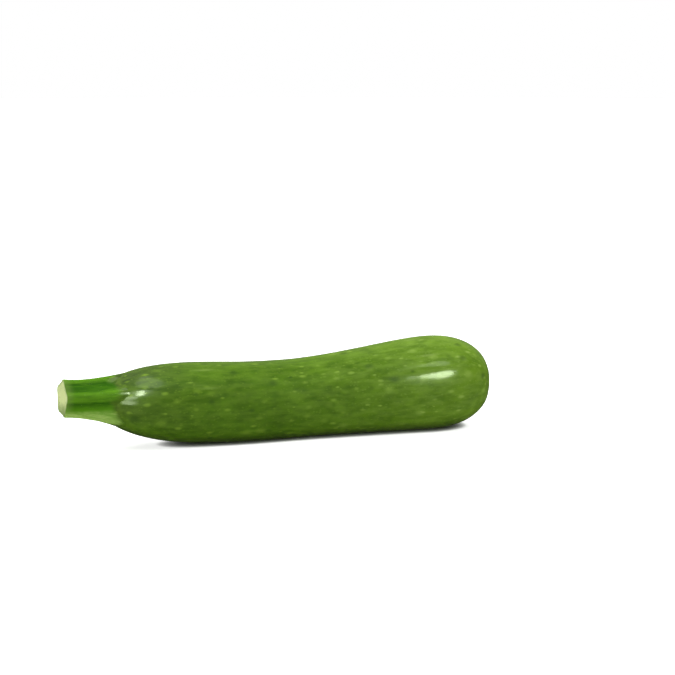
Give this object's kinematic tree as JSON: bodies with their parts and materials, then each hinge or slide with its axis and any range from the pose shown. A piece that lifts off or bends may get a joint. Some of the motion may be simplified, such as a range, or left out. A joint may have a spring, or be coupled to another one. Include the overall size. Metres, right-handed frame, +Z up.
{
  "type": "zucchini",
  "caption": "Green zucchini as picked, lying on its side: a slim fruit that swells towards its rounded blossom end, with a cut, five-ridged stem.",
  "frame": {"origin": "on the surface that the fruit rests on, under the middle of its bounding box", "axes": "+X along the fruit from the cut stem towards the blossom end, +Z up, -Y towards the side that the picture shows"},
  "size_m": [0.2056, 0.0442, 0.0437],
  "materials": {
    "skin": "waxy, finely speckled green skin with a soft gloss",
    "stem": "fresh green ridged stalk, satin, with a pale cut end"
  },
  "bodies": {
    "root": {"fruit": "skin", "stem": "stem"}
  },
  "joints": []
}
